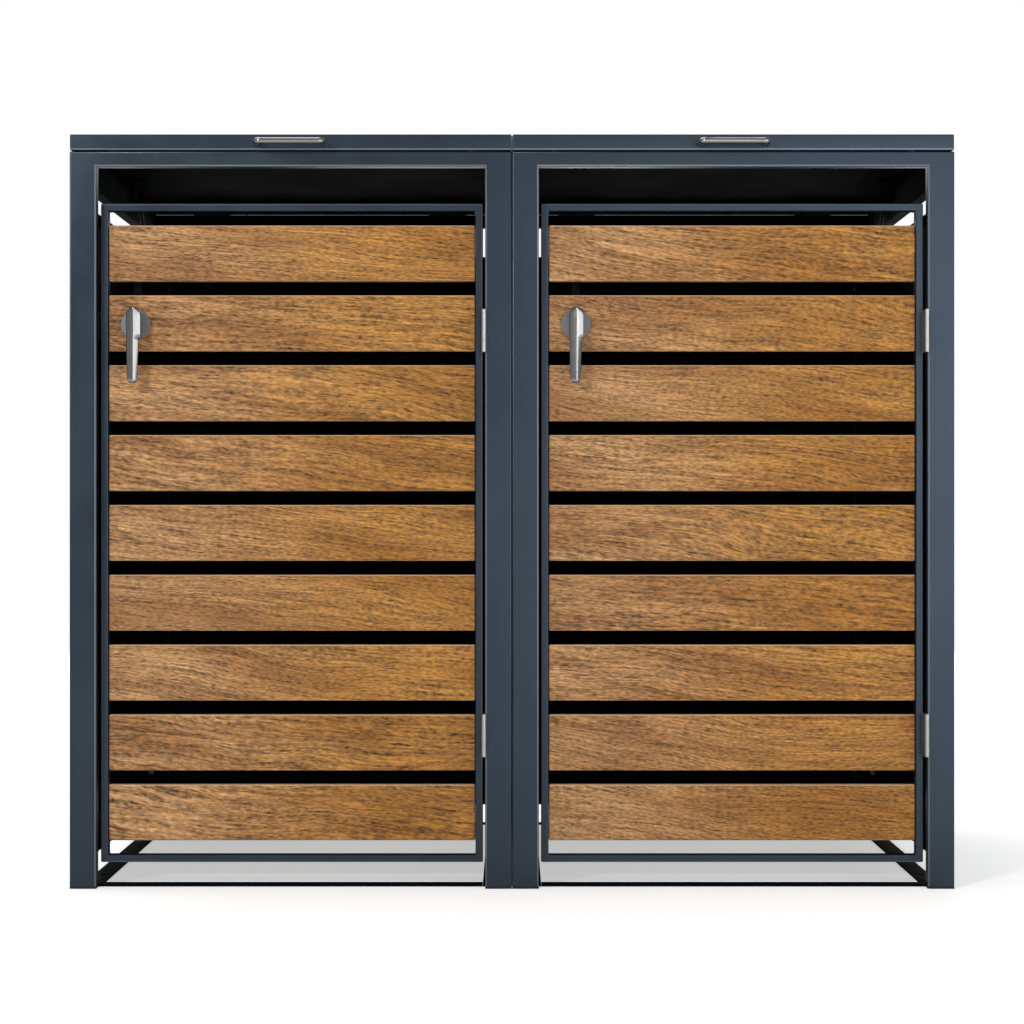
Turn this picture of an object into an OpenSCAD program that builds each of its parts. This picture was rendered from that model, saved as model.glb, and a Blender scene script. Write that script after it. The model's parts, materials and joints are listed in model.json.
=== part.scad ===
// Double wheelie-bin store: two equal bays side by side. Each bay is a welded steel tube frame
// with sheet-steel side and rear panels, a slatted door hung on its right side, and a lid that
// is hinged at the rear and carried by two gas struts.
// X runs across the front, Y from the front to the rear, and Z up from the ground. The origin is
// on the ground, below the centre of the object's bounding box. Sub-parts are drawn in the frame
// of one bay: x from its left side, y from the front faces of its posts, z from the ground.

/* [Enclosure] */
// Width of one bay, over its posts
bay_w = 680; // [560:1:820]
// Depth over the front and rear posts
depth = 800; // [660:1:960]
// Height of the welded frame, without the lid
frame_h = 1133.5; // [940:0.5:1370]
// Seam between the two bays
bay_seam = 0.6; // [0.4:0.1:1.2]

/* [Frame] */
// Width of a post, seen from the front
post_w = 41; // [34:0.5:50]
// Depth of a post
post_d = 23; // [19:0.5:28]
// Height of the front and rear top rails
rail_h = 23; // [19:0.5:30]
// Height of the side top rails
side_rail_h = 42; // [34:0.5:52]
// Width of the side top rails, and depth of the panel cassettes
cassette_d = 20; // [16:0.5:22]
// Wall of the frame tubes
tube_wall = 2; // [1.5:0.1:2.5]
// Thickness of the panel and lid sheet
sheet_t = 1.5; // [1:0.1:2]
// Height of the lower edges of the door and the panels above the ground
ground_gap = 38; // [30:0.5:46]
// Height of the open slot between the front top rail and the door
top_slot = 54.5; // [44:0.5:66]
// Width of the flat bars on the ground
base_bar_w = 30; // [24:0.5:36]
// Width of the rear flat bar on the ground
rear_bar_w = 20; // [16:0.5:22]
// Thickness of the flat bars on the ground
base_bar_t = 3; // [2:0.1:4]
// Distance from the frame's side to the side bars on the ground
base_bar_inset = 15; // [10:0.5:18]
// Diameter of the ground anchor holes
anchor_d = 10; // [8:0.5:12]
// Distance of the anchor holes from the front and the rear of the frame
anchor_inset = 130; // [90:1:180]
// Thickness of the flange of a foot plug
foot_t = 2; // [1.5:0.1:3]

/* [Door] */
// Gap between the door and the posts
door_gap = 3.7; // [3:0.1:4.5]
// Distance of the door behind the front of the posts
door_recess = 21; // [17:0.5:25]
// Face width of the door's frame tube
stile_w = 11.5; // [10:0.1:14]
// Depth of the door's frame tube
stile_d = 20; // [17:0.5:24]
// Wall of the door's frame tube
stile_wall = 1.5; // [1:0.1:2]
// Number of slats
slat_count = 9; // [9]
// Height of a slat
slat_h = 86.5; // [70:0.5:88]
// Thickness of a slat
slat_t = 15; // [12:0.5:18]
// Distance of the slats behind the front of the door frame
slat_recess = 3.5; // [2.5:0.1:4.5]

/* [Door handle] */
// Distance of the lever's axis from the door's free edge
lever_inset = 54; // [46:0.5:64]
// Distance of the lever's axis below the middle of the second slat
lever_drop = 2.5; // [0:0.1:10]
// Length of the lever below its axis
lever_reach = 92; // [76:1:110]
// Length of the lever above its axis
lever_head = 26; // [21:0.5:31]
// Width of the lever at its axis
lever_w = 21.5; // [18:0.5:26]
// Width of the lever at its tip
lever_tip_w = 14; // [11:0.5:17]
// Thickness of the lever
lever_t = 12; // [10:0.5:14]
// Finger clearance between the slats and the lever
lever_clear = 22; // [18:0.5:26]
// Diameter of the rosette
rosette_d = 46.5; // [38:0.5:55]
// Thickness of the rosette
rosette_t = 5; // [4:0.5:6]
// Diameter of the lever's spindle
spindle_d = 10; // [8:0.5:12]
// Thickness of the latch tongue and of the strike's plate
tongue_t = 3; // [2:0.5:4]
// Width of the latch tongue
tongue_w = 16; // [14:0.5:20]
// Overlap of the latch tongue behind the strike
tongue_lap = 15; // [12:0.5:16]

/* [Hinges] */
// Diameter of the door hinge barrels
door_barrel_d = 7.4; // [6:0.1:7.4]
// Length of the door hinge barrels
door_barrel_l = 65.5; // [54:0.5:78]
// Distance of the door hinge axis in front of the posts
door_axis_out = 4; // [4:0.1:5]
// Distance from the door's ends to the centres of its hinges
door_hinge_inset = 198; // [160:1:240]
// Diameter of the lid hinge barrels
lid_barrel_d = 8; // [7:0.1:9]
// Length of the lid hinge barrels
lid_barrel_l = 70; // [56:1:84]
// Distance from the bay's sides to the centres of the lid hinges
lid_hinge_inset = 120; // [90:1:150]
// Share of a barrel's length that its middle knuckle takes, in the moving leaf
mid_knuckle = 0.47; // [0.4:0.01:0.55]

/* [Lid] */
// Gap between the frame and the lid's skirt
lid_gap = 2.5; // [2:0.1:4]
// Height of the lid's skirt
skirt_h = 24; // [20:0.5:30]
// Gap between each side of the lid and the bay's side
lid_side_gap = 0.5; // [0.5:0.05:1.5]
// Distance that a bow handle stands out
bow_out = 35; // [29:0.5:42]
// Diameter of a bow handle's bar
bow_d = 10; // [8:0.5:12]
// Distance between the feet of a bow handle
bow_pitch = 101.5; // [82:0.5:120]
// Height of the bow handle above the lid skirt's lower edge
bow_rise = 9.8; // [9:0.1:14]

/* [Gas struts] */
// Distance of both strut pivots from the lid's hinge axis
strut_r = 300; // [270:1:330]
// Angle at the hinge axis between the strut pivots, lid closed
strut_angle = 78; // [74:0.5:82]
// Angle of the lid's strut pivot below the hinge axis, lid closed
strut_drop_angle = 2.9; // [2:0.1:4]
// Distance of the struts from the bay's sides
strut_x = 31; // [30.5:0.1:33]
// Diameter of a strut's cylinder
cylinder_d = 15; // [13:0.5:15]
// Length of a strut's cylinder
cylinder_l = 300; // [280:1:305]
// Diameter of a strut's rod
rod_d = 6; // [5:0.5:7]
// Diameter of the strut pivots
strut_stud_d = 8; // [6:0.5:9]
// Diameter of the strut's end eyes
eye_d = 14; // [12:0.5:15]

/* [Hidden] */
SIDE = ["left", "right"];
ROOT_NODES = [
    "side_rails", "base_bars", "inner_side_panels", "rear_panels", "foot_plugs", "frame_fasteners",
    "door_hinge_frame_leaves", "lid_hinge_frame_leaves", "hinge_pins", "strut_frame_brackets",
    "lid_buffers", "latch_strikes"
];
BAY_NODES = [
    "front_frame", "rear_frame", "outer_side_panel", "door_frame", "door_hinge_leaves",
    "slat_screws", "lever_rosette", "lever_handle", "latch_tongue", "lid_shell", "bow_handle",
    "lid_hinge_leaves", "strut_lid_brackets", "strut_cylinders", "strut_rods"
];
$fn = 48;

ANTHRACITE = [0.22, 0.27, 0.32];
OAK = [0.66, 0.48, 0.25];
STEEL = [0.70, 0.70, 0.70];
DARK = [0.05, 0.05, 0.06];

eps = 0.01;              // overrun of a cut past a face
seat = 0.3;              // gap of a seated but loose face
run = 0.05;              // radial clearance of a turning fit
bolt_play = 0.6;         // added to the diameter of a hole that a bolt or screw passes through
beside_panel = cassette_d + 1;   // place of what is fixed beside a panel, from the bay's side

// Depth axis: the bow handles stand out in front and the lid hinges behind
lid_axis_back = seat + lid_barrel_d / 2;
front_y = (bow_out - depth - lid_axis_back - lid_barrel_d / 2) / 2;

// Door
door_x0 = post_w + door_gap;
door_x1 = bay_w - post_w - door_gap;
door_z0 = ground_gap;
door_z1 = frame_h - rail_h - top_slot;
door_back = door_recess + stile_d;
slat_len = door_x1 - door_x0 - 2 * (stile_w + seat);
slat_y = door_recess + slat_recess;
slat_gap = (door_z1 - door_z0 - 2 * stile_w - slat_count * slat_h) / (slat_count + 1);
slat_back = slat_y + slat_t;
screw_z = slat_h * 0.3;  // distance of the slat screws from a slat's middle
screw_d = 4;
screw_l = 28;            // length of a slat screw in the slat
screw_head_d = 6.5;
screw_access = 1.5;      // added to a screw head's diameter where the head passes through

// Door handle
lever_x = door_x0 + lever_inset;
lever_z = slat_mid(2) - lever_drop;
neck_d = lever_w - 2;
washer_d = 24;
tongue_y = door_back + 2.7;
tongue_reach = lever_x - post_w + tongue_lap;
tongue_screw_d = 3.2;
tongue_screw_l = 10;     // length of the tongue's screw in the spindle
tongue_head_d = 13;
tongue_head_h = 2.5;
strike_y = tongue_y - 0.5;
strike_t = 2;
strike_h = 40;

// Hinges
leaf_clear = 0.7;        // gap between the leaves of a door hinge
leaf_t = (door_gap - leaf_clear) / 2;
leaf_short = 1;          // how far a leaf ends before the rear of what it is fixed to
door_axis = [bay_w - post_w - door_gap / 2, -door_axis_out];
lid_axis = [depth + lid_axis_back, frame_h + lid_gap / 2];
knuckle_gap = 0.3;
knuckle_play = 0.8;      // added to a knuckle's diameter for the room round it
pin_share = 0.55;        // diameter of a hinge pin over its barrel's
door_hinge_z = [door_z0 + door_hinge_inset, door_z1 - door_hinge_inset];
lid_hinge_x = [lid_hinge_inset, bay_w - lid_hinge_inset];
lid_leaf_down = 30;      // height of a lid hinge's fixed leaf

// Lid
lid_z0 = frame_h + lid_gap;
lid_z1 = lid_z0 + skirt_h;
bow_z = lid_z0 + bow_rise;
bow_bend = bow_d;        // radius of a bow handle's elbows, on its centre line
bow_screw_d = 5;
bow_screw_l = 14;        // length of a bow screw in the handle's foot
bow_head_d = 9;
bow_head_h = 3;
buffer_d = 14;
buffer_x = post_w + 24;

// Gas struts: both pivots are equally far from the hinge axis, so a strut turns through half
// the lid's angle
strut_a = lid_axis + strut_r * [-cos(strut_angle + strut_drop_angle),
                                -sin(strut_angle + strut_drop_angle)];
strut_b = lid_axis + strut_r * [-cos(strut_drop_angle), -sin(strut_drop_angle)];
strut_tilt = atan2(strut_b[1] - strut_a[1], strut_b[0] - strut_a[0]);
cylinder_bore = cylinder_d - 3;
rod_l = cylinder_l + 5;
rod_neck_d = 8;          // diameter of the necks between the eyes and the cylinder or rod
rod_neck_l = 10;
cylinder_cap = 6;        // thickness of the cylinder's closed end
cylinder_seal = 12;      // thickness of the seal that the rod passes through
piston_l = 8;
piston_gap = 0.2;        // radial gap of the piston in the cylinder
eye_t = 12;
ear_t = 2.5;             // plate of the strut brackets
ear_d = 24;              // diameter of that plate's round end
ear_foot = 40;           // length of the brackets' feet
panel_z = [door_z0, door_z1];
rivet_d = 4.8;
rivet_head_h = 1.6;
rivet_past = 3;          // length of a rivet beyond the tube's wall
rivet_z = [panel_z[0] + 60, (panel_z[0] + panel_z[1]) / 2, panel_z[1] - 60];
join_bolt_d = 8;
join_head_d = 15;        // width of a joining bolt's head and nut, over their corners
join_head_h = 5;
join_nut_h = 6.5;
join_past = 2.5;         // length of a joining bolt beyond its nut
join_bolt_y = [post_d + 110, strut_b[0] - 80];
join_bolt_z = frame_h - side_rail_h / 2;
foot_bolt_z = 22;        // height of the joining bolt through the rear posts

function slat_z(i) = door_z1 - stile_w - i * slat_gap - i * slat_h;
function slat_mid(i) = slat_z(i) + slat_h / 2;

// ---- helpers ----

module bay(b) translate([(b - 1) * bay_w + (b - 0.5) * bay_seam, front_y, 0]) children();

// What is drawn at a bay's left side, moved to its right side
module right_side() translate([bay_w, 0, 0]) mirror([1, 0, 0]) children();

// The left and the right copy of what a bay has at both sides
module both_sides() {
    children();
    right_side() children();
}

// What bay b has only at the side where it meets the other bay
module inner_side(b) {
    if (b == 0) right_side() children();
    else children();
}

module block(low, high) translate(low) cube(high - low);

module rod_x(d, x0, x1, y, z)
    translate([x0, y, z]) rotate([0, 90, 0]) cylinder(d = d, h = x1 - x0);

module rod_y(d, y0, y1, x, z)
    translate([x, y0, z]) rotate([-90, 0, 0]) cylinder(d = d, h = y1 - y0);

// Outline of a bar that tapers between two round ends, the first at the origin, the second at
// -len on the Y axis
module taper(r0, r1, len) {
    lean = asin((r0 - r1) / len);
    circle(r = r0);
    translate([0, -len]) circle(r = r1);
    polygon([
        r0 * [cos(lean), -sin(lean)], [0, -len] + r1 * [cos(lean), -sin(lean)],
        [0, -len] + r1 * [-cos(lean), -sin(lean)], r0 * [-cos(lean), -sin(lean)]
    ]);
}

// ---- frame ----

// Portal of two posts and a top rail, welded from rectangular tube and open at the feet
module portal() {
    h = frame_h;
    w = tube_wall;
    difference() {
        block([0, 0, foot_t], [bay_w, post_d, h]);
        block([post_w, -1, -1], [bay_w - post_w, post_d + 1, h - rail_h]);
        both_sides() block([w, w, -1], [post_w - w, post_d - w, h - w]);
        block([w, w, h - rail_h + w], [bay_w - w, post_d - w, h - w]);
    }
}

module front_frame() {
    color(ANTHRACITE) difference() {
        portal();
        both_sides() for (z = rivet_z)
            rod_y(rivet_d + 2 * run, post_d - tube_wall - 1, post_d + 1, cassette_d / 2, z);
    }
}

module rear_frame(b) {
    rear = depth - post_d;
    color(ANTHRACITE) difference() {
        translate([0, rear, 0]) portal();
        both_sides() for (z = rivet_z) {
            rod_y(rivet_d + 2 * run, rear - 1, rear + tube_wall + 1, cassette_d / 2, z);
            rod_x(rivet_d + 2 * run, post_w - tube_wall - 1, post_w + 1, depth - cassette_d / 2, z);
        }
        inner_side(b)
            rod_x(join_bolt_d + bolt_play, -1, post_w + 1, depth - post_d / 2, foot_bolt_z);
    }
}

module side_rails() {
    color(ANTHRACITE) for (b = [0, 1]) bay(b) difference() {
        both_sides() difference() {
            block([0, post_d, frame_h - side_rail_h], [cassette_d, depth - post_d, frame_h]);
            block([tube_wall, post_d - 1, frame_h - side_rail_h + tube_wall],
                  [cassette_d - tube_wall, depth - post_d + 1, frame_h - tube_wall]);
        }
        for (y = join_bolt_y)
            inner_side(b) rod_x(join_bolt_d + bolt_play, -1, cassette_d + 1, y, join_bolt_z);
    }
}

module base_bars() {
    inner = base_bar_inset + base_bar_w;
    color(DARK) for (b = [0, 1]) bay(b) {
        both_sides() difference() {
            block([base_bar_inset, post_d, 0], [inner, depth - post_d, base_bar_t]);
            for (y = [anchor_inset, depth - anchor_inset])
                translate([base_bar_inset + base_bar_w / 2, y, -1])
                    cylinder(d = anchor_d, h = base_bar_t + 2);
        }
        block([inner + seat, post_d, 0], [bay_w - inner - seat, post_d + base_bar_w, base_bar_t]);
        block([post_w, depth - rear_bar_w, 0], [bay_w - post_w, depth, base_bar_t]);
    }
}

module foot_plugs() {
    slack = tube_wall + 0.2;
    color(DARK) for (b = [0, 1], y = [0, depth - post_d]) bay(b) both_sides() translate([0, y, 0]) {
        cube([post_w, post_d, foot_t]);
        block([slack, slack, foot_t - eps], [post_w - slack, post_d - slack, foot_t + 10]);
    }
}

// ---- panels ----

// Sheet cassette in the plane of X and Z: its face is at y = 0 and its flanges are turned back
module cassette(w, h) {
    difference() {
        cube([w, cassette_d, h]);
        block([sheet_t, sheet_t, sheet_t], [w - sheet_t, cassette_d + 1, h - sheet_t]);
    }
}

module side_panel() {
    color(ANTHRACITE) difference() {
        translate([0, depth - post_d, panel_z[0]]) rotate([0, 0, -90])
            cassette(depth - 2 * post_d, panel_z[1] - panel_z[0]);
        for (z = rivet_z) {
            rod_y(rivet_d + 2 * run, post_d - 1, post_d + sheet_t + 1, cassette_d / 2, z);
            rod_y(rivet_d + 2 * run, depth - post_d - sheet_t - 1, depth - post_d + 1,
                  cassette_d / 2, z);
        }
    }
}

module right_side_panel() right_side() side_panel();

module inner_side_panels() {
    bay(0) right_side_panel();
    bay(1) side_panel();
}

module rear_panel() {
    color(ANTHRACITE) difference() {
        translate([bay_w - post_w, depth, panel_z[0]]) rotate([0, 0, 180])
            cassette(bay_w - 2 * post_w, panel_z[1] - panel_z[0]);
        both_sides() for (z = rivet_z)
            rod_x(rivet_d + 2 * run, post_w - 1, post_w + sheet_t + 1, depth - cassette_d / 2, z);
    }
}

module rear_panels() for (b = [0, 1]) bay(b) rear_panel();

// Blind rivet through a panel's flange and a tube's wall, its head on the flange at y = 0
module rivet() {
    rod_y(2 * rivet_d, -rivet_head_h, 0, 0, 0);
    rod_y(rivet_d, -eps, sheet_t + tube_wall + rivet_past, 0, 0);
}

// Bolt and nut through two pieces that meet at the seam, each of them `reach` wide
module joining_bolt(y, z, reach) {
    half = reach + bay_seam / 2;
    color(STEEL) translate([0, front_y + y, z]) rotate([0, 90, 0]) {
        translate([0, 0, -half - join_head_h]) cylinder(d = join_head_d, h = join_head_h, $fn = 6);
        translate([0, 0, -half - eps])
            cylinder(d = join_bolt_d, h = 2 * half + join_nut_h + join_past);
        translate([0, 0, half]) difference() {
            cylinder(d = join_head_d, h = join_nut_h, $fn = 6);
            translate([0, 0, -1]) cylinder(d = join_bolt_d + 2 * run, h = join_nut_h + 2);
        }
    }
}

module frame_fasteners() {
    color(STEEL) for (b = [0, 1]) bay(b) both_sides() for (z = rivet_z) {
        translate([cassette_d / 2, post_d + sheet_t, z]) rotate([0, 0, 180]) rivet();
        translate([cassette_d / 2, depth - post_d - sheet_t, z]) rivet();
        translate([post_w + sheet_t, depth - cassette_d / 2, z]) rotate([0, 0, 90]) rivet();
    }
    for (y = join_bolt_y) joining_bolt(y, join_bolt_z, cassette_d);
    joining_bolt(depth - post_d / 2, foot_bolt_z, post_w);
}

// ---- hinges ----

// Knuckles of one leaf, on the Z axis: the middle one, or the two at the ends
module knuckles(d, l, middle) {
    half = l * mid_knuckle / 2;
    spans = middle ? [[-half, half]] : [[-l / 2, -half - knuckle_gap], [half + knuckle_gap, l / 2]];
    for (s = spans) translate([0, 0, s[0]]) cylinder(d = d, h = s[1] - s[0]);
}

// Room that a leaf leaves round the other leaf's knuckles
module knuckle_room(d, l, middle) {
    half = l * mid_knuckle / 2;
    spans = middle ? [[-half - knuckle_gap, half + knuckle_gap]]
                   : [[-l / 2 - 1, -half], [half, l / 2 + 1]];
    for (s = spans) translate([0, 0, s[0]]) cylinder(d = d + knuckle_play, h = s[1] - s[0]);
}

// Hinge leaf with its axis on the Z axis: a plate from x0 to x1, reaching from y0 to y1
module leaf(d, l, x0, x1, y0, y1, middle) {
    difference() {
        union() {
            difference() {
                block([x0, y0, -l / 2], [x1, y1, l / 2]);
                knuckle_room(d, l, !middle);
            }
            knuckles(d, l, middle);
        }
        translate([0, 0, -l]) cylinder(d = d * pin_share + 2 * run, h = 2 * l);
    }
}

module at_door_hinges()
    for (z = door_hinge_z) translate([door_axis[0], door_axis[1], z]) children();

// A lid hinge lies on its side: its leaf's own X axis points back and its own Y axis up
module at_lid_hinges() {
    for (x = lid_hinge_x)
        translate([x, lid_axis[0], lid_axis[1]])
            multmatrix([[0, 0, 1, 0], [1, 0, 0, 0], [0, 1, 0, 0]]) children();
}

module door_hinge_frame_leaves() {
    x0 = leaf_clear / 2;
    color(STEEL) for (b = [0, 1]) bay(b) at_door_hinges()
        leaf(door_barrel_d, door_barrel_l, x0, x0 + leaf_t, 0, door_axis_out + post_d - leaf_short,
             false);
}

module door_hinge_leaves() {
    x0 = leaf_clear / 2;
    color(STEEL) at_door_hinges()
        leaf(door_barrel_d, door_barrel_l, -x0 - leaf_t, -x0, 0, door_axis_out + door_back - leaf_short,
             true);
}

module lid_hinge_frame_leaves() {
    color(STEEL) for (b = [0, 1]) bay(b) at_lid_hinges()
        leaf(lid_barrel_d, lid_barrel_l, -lid_axis_back, -lid_axis_back + sheet_t,
             -lid_leaf_down, -knuckle_gap, false);
}

module lid_hinge_leaves() {
    color(STEEL) at_lid_hinges()
        leaf(lid_barrel_d, lid_barrel_l, -lid_axis_back, -lid_axis_back + sheet_t,
             knuckle_gap, lid_z1 - lid_axis[1] - leaf_short, true);
}

module hinge_pins() {
    color(STEEL) for (b = [0, 1]) bay(b) {
        at_door_hinges() cylinder(d = door_barrel_d * pin_share, h = door_barrel_l, center = true);
        at_lid_hinges() cylinder(d = lid_barrel_d * pin_share, h = lid_barrel_l, center = true);
    }
}

// ---- door ----

// Places of the slat screws at the left end of a door
module at_screws() {
    for (i = [1 : slat_count], dz = [-screw_z, screw_z])
        translate([door_x0, slat_y + slat_t / 2, slat_mid(i) + dz]) rotate([0, 90, 0]) children();
}

module door_frame() {
    w = stile_w;
    t = stile_wall;
    y0 = door_recess;
    y1 = door_back;
    color(ANTHRACITE) difference() {
        block([door_x0, y0, door_z0], [door_x1, y1, door_z1]);
        block([door_x0 + w, y0 - 1, door_z0 + w], [door_x1 - w, y1 + 1, door_z1 - w]);
        difference() {
            block([door_x0 + t, y0 + t, door_z0 + t], [door_x1 - t, y1 - t, door_z1 - t]);
            block([door_x0 + w - t, y0, door_z0 + w - t], [door_x1 - w + t, y1, door_z1 - w + t]);
        }
        both_sides() at_screws() {
            translate([0, 0, -1]) cylinder(d = screw_head_d + screw_access, h = t + 2);
            translate([0, 0, w - t - 1]) cylinder(d = screw_d + bolt_play, h = t + 2);
        }
    }
}

module slat_screws() {
    color(STEEL) both_sides() at_screws() {
        translate([0, 0, stile_wall + seat])
            cylinder(d = screw_head_d, h = stile_w - 2 * stile_wall - seat);
        translate([0, 0, stile_w - stile_wall - eps])
            cylinder(d = screw_d, h = stile_wall + seat + screw_l);
    }
}

// Slat i, counted from the top. The second one carries the door handle.
module slat(i) {
    color(OAK) difference() {
        translate([door_x0 + stile_w + seat, slat_y, slat_z(i)]) cube([slat_len, slat_t, slat_h]);
        both_sides() for (dz = [-screw_z, screw_z])
            rod_x(screw_d + 2 * run, door_x0, door_x0 + stile_w + 2 * seat + screw_l,
                  slat_y + slat_t / 2, slat_mid(i) + dz);
        if (i == 2) rod_y(spindle_d + 2, slat_y - 1, slat_back + 1, lever_x, lever_z);
    }
}

// ---- door handle ----

// Front rosette and the washer behind the slat
module lever_rosette() {
    color(STEEL) difference() {
        union() {
            rod_y(rosette_d, slat_y - rosette_t, slat_y, lever_x, lever_z);
            rod_y(washer_d, slat_back, tongue_y - seat, lever_x, lever_z);
        }
        rod_y(spindle_d + 2 * run, slat_y - rosette_t - 1, tongue_y, lever_x, lever_z);
    }
}

module lever_handle() {
    head_r = lever_w / 2;
    tip_r = lever_tip_w / 2;
    back = slat_y - lever_clear;
    color(STEEL) translate([lever_x, 0, lever_z]) {
        difference() {
            union() {
                translate([0, back, lever_head - head_r]) rotate([90, 0, 0]) linear_extrude(lever_t)
                    taper(head_r, tip_r, lever_head - head_r + lever_reach - tip_r);
                rod_y(neck_d, back - eps, slat_y - rosette_t - seat, 0, 0);
                rod_y(spindle_d, back, tongue_y + tongue_t, 0, 0);
            }
            rod_y(tongue_screw_d + 2 * run, tongue_y - tongue_screw_l - seat,
                  tongue_y + tongue_t + 1, 0, 0);
        }
    }
}

// Flat tongue on the spindle's rear end, with its retaining screw. It points up while the lever
// hangs down.
module latch_tongue() {
    tip = tongue_w / 2 - 2;
    color(DARK) translate([lever_x, 0, lever_z]) {
        difference() {
            translate([0, tongue_y, 0]) rotate([-90, 0, 0]) linear_extrude(tongue_t)
                taper(tongue_w / 2 + 1, tip, tongue_reach - tip);
            rod_y(spindle_d + 2 * run, tongue_y - 1, tongue_y + tongue_t + 1, 0, 0);
        }
        rod_y(tongue_head_d, tongue_y + tongue_t, tongue_y + tongue_t + tongue_head_h, 0, 0);
        rod_y(tongue_screw_d, tongue_y - tongue_screw_l, tongue_y + tongue_t + eps, 0, 0);
    }
}

// Strike on the rear of the post at each door's free edge: a foot, a web and a lip
module latch_strikes() {
    t = strike_t;
    z0 = lever_z - strike_h / 2;
    z1 = lever_z + strike_h / 2;
    x1 = post_w - seat;
    color(ANTHRACITE) for (b = [0, 1]) bay(b) {
        block([beside_panel, post_d, z0], [x1, post_d + t, z1]);
        block([x1 - t, post_d, z0], [x1, strike_y, z1]);
        block([post_w - tongue_lap - 1, strike_y - t, z0], [x1, strike_y, z1]);
    }
}

// ---- lid ----

module lid_shell() {
    color(ANTHRACITE) difference() {
        block([lid_side_gap, 0, lid_z0], [bay_w - lid_side_gap, depth, lid_z1]);
        block([lid_side_gap + sheet_t, sheet_t, lid_z0 - 1],
              [bay_w - lid_side_gap - sheet_t, depth - sheet_t, lid_z1 - sheet_t]);
        for (dx = [-bow_pitch / 2, bow_pitch / 2])
            rod_y(bow_screw_d + 2 * run, -1, sheet_t + 1, bay_w / 2 + dx, bow_z);
    }
}

// Bow of round bar on the lid's front skirt, with the two screws that hold it from behind
module bow_handle() {
    bar_y = -bow_out + bow_d / 2;
    half = bow_pitch / 2;
    color(STEEL) translate([bay_w / 2, 0, bow_z]) {
        for (side = [0, 1]) mirror([side, 0, 0]) {
            difference() {
                rod_y(bow_d, bar_y + bow_bend, 0, half, 0);
                rod_y(bow_screw_d + 2 * run, -bow_screw_l - 1, 1, half, 0);
            }
            rod_y(bow_screw_d, -bow_screw_l, sheet_t + eps, half, 0);
            rod_y(bow_head_d, sheet_t, sheet_t + bow_head_h, half, 0);
            translate([half - bow_bend, bar_y + bow_bend, 0]) rotate([0, 0, -90])
                rotate_extrude(angle = 90) translate([bow_bend, 0]) circle(d = bow_d);
        }
        rod_x(bow_d, -half + bow_bend, half - bow_bend, bar_y, 0);
    }
}

module lid_buffers() {
    color(DARK) for (b = [0, 1]) bay(b) both_sides()
        translate([buffer_x, post_d / 2, frame_h])
            cylinder(d = buffer_d, h = lid_z1 - sheet_t - seat - frame_h);
}

// ---- gas struts ----

module at_strut(p) translate([strut_x, p[0], p[1]]) rotate([0, 90, 0]) children();

// Stud of a strut bracket, from its ear to the far side of the strut's eye
module strut_stud(p)
    rod_x(strut_stud_d, beside_panel + ear_t - eps, strut_x + eye_t / 2 + 2, p[0], p[1]);

module strut_frame_brackets() {
    rear = depth - post_d;
    a = strut_a;
    color(DARK) for (b = [0, 1]) bay(b) both_sides() {
        block([beside_panel, rear - ear_t, a[1] - ear_foot / 2],
              [post_w - seat, rear, a[1] + ear_foot / 2]);
        block([beside_panel, a[0], a[1] - ear_d / 2],
              [beside_panel + ear_t, rear, a[1] + ear_d / 2]);
        rod_x(ear_d, beside_panel, beside_panel + ear_t, a[0], a[1]);
        strut_stud(a);
    }
}

module strut_lid_brackets() {
    p = strut_b;
    top = lid_z1 - sheet_t;
    color(DARK) both_sides() {
        block([beside_panel, p[0] - ear_foot / 2, top - ear_t],
              [beside_panel + ear_foot / 2, p[0] + ear_foot / 2, top]);
        block([beside_panel, p[0] - ear_d / 2, p[1]],
              [beside_panel + ear_t, p[0] + ear_d / 2, top]);
        rod_x(ear_d, beside_panel, beside_panel + ear_t, p[0], p[1]);
        strut_stud(p);
    }
}

// Eye on a pivot stud, with its bore along the X axis
module eye(p) {
    difference() {
        at_strut(p) cylinder(d = eye_d, h = eye_t, center = true);
        at_strut(p) cylinder(d = strut_stud_d + 2 * run, h = eye_t + 2, center = true);
    }
}

// Turns what is drawn along Y, from a pivot, into the direction of the strut, and keeps the
// pivot's bore clear
module along_strut(p, direction) {
    difference() {
        translate([strut_x, p[0], p[1]]) rotate([strut_tilt, 0, 0])
            scale([1, direction, 1]) children();
        at_strut(p) cylinder(d = strut_stud_d + 2 * run, h = eye_t + 2, center = true);
    }
}

module strut_cylinders() {
    start = eye_d / 2 + 3;
    color(DARK) both_sides() {
        eye(strut_a);
        along_strut(strut_a, 1) {
            rod_y(rod_neck_d, strut_stud_d / 2, start + eps, 0, 0);
            difference() {
                rod_y(cylinder_d, start, start + cylinder_l, 0, 0);
                rod_y(cylinder_bore, start + cylinder_cap, start + cylinder_l - cylinder_seal, 0, 0);
                rod_y(rod_d + 2 * run, start + cylinder_cap, start + cylinder_l + 1, 0, 0);
            }
        }
    }
}

module strut_rods() {
    color(DARK) both_sides() {
        eye(strut_b);
        along_strut(strut_b, -1) {
            rod_y(rod_neck_d, strut_stud_d / 2, eye_d / 2 + rod_neck_l, 0, 0);
            rod_y(rod_d, eye_d / 2, rod_l, 0, 0);
            rod_y(cylinder_bore - 2 * piston_gap, rod_l - piston_l, rod_l, 0, 0);
        }
    }
}

// ---- output ----

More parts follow.
